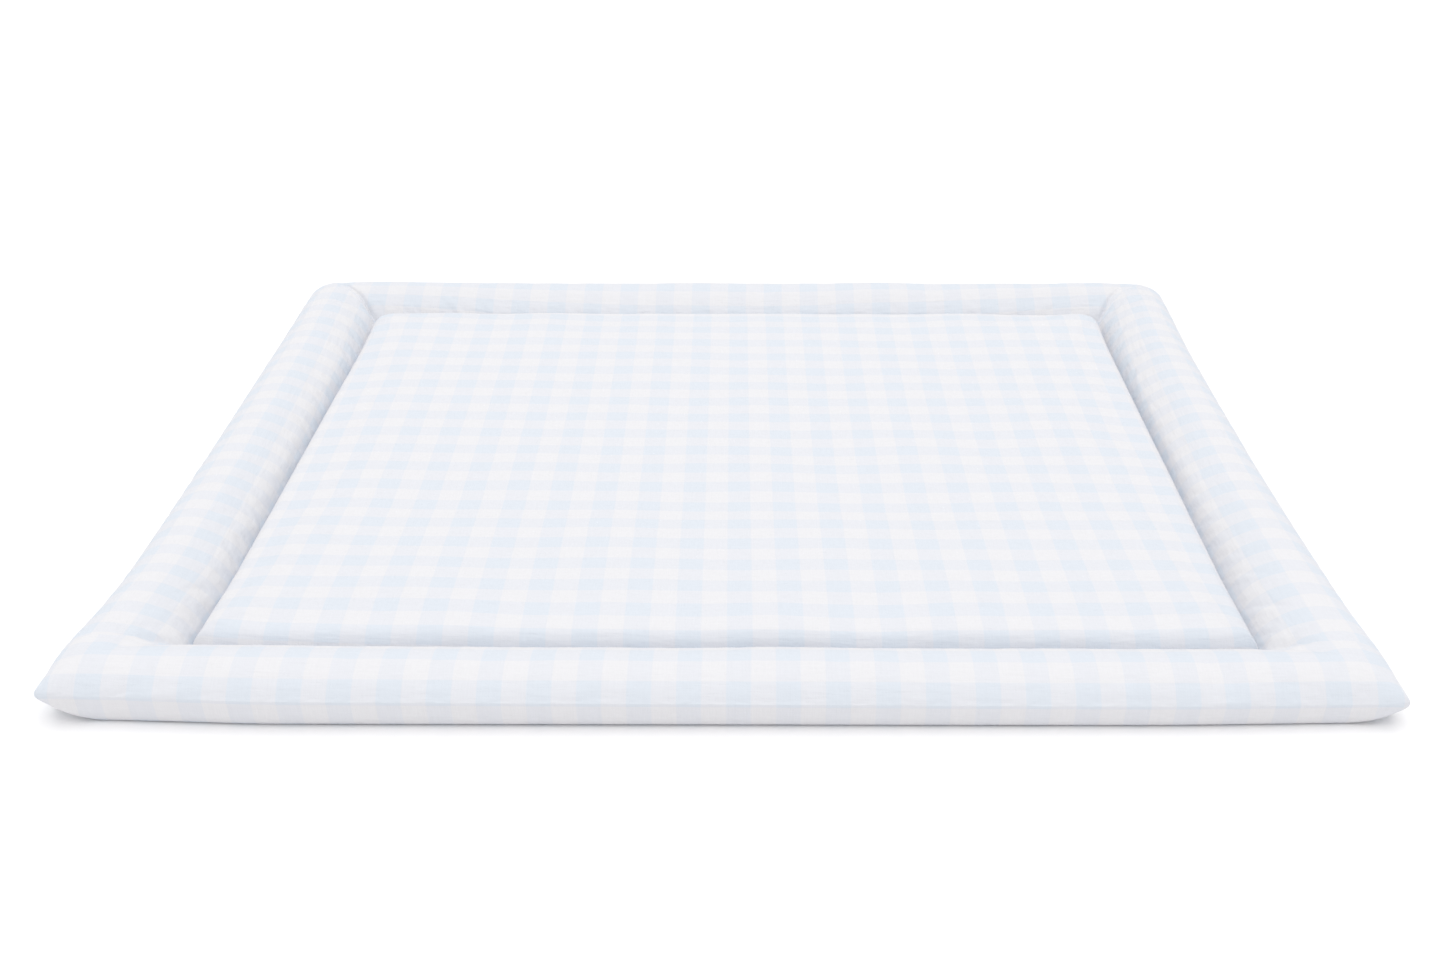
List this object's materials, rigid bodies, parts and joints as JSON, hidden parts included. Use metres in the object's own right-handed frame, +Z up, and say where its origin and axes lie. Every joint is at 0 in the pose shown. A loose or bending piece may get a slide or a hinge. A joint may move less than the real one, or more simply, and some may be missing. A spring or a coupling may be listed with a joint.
{
  "type": "baby play mat",
  "caption": "Padded rectangular play mat: a filled centre pad sewn inside a thick stuffed border with drawn corners, lying flat.",
  "frame": {"origin": "middle of the flat underside, on the surface that the mat lies on", "axes": "+X along the mat's longer side, to the right as seen from the front; +Y from front to back; +Z up out of the cloth"},
  "size_m": [1.226, 1.078, 0.0525],
  "materials": {
    "pad_cloth": "woven cotton gingham, pale blue and white, matt",
    "border_cloth": "woven cotton gingham, pale blue and white, matt"
  },
  "bodies": {
    "root": {"centre_pad": "pad_cloth", "bolster_front": "border_cloth", "bolster_left": "border_cloth", "bolster_right": "border_cloth", "bolster_back": "border_cloth"}
  },
  "joints": []
}
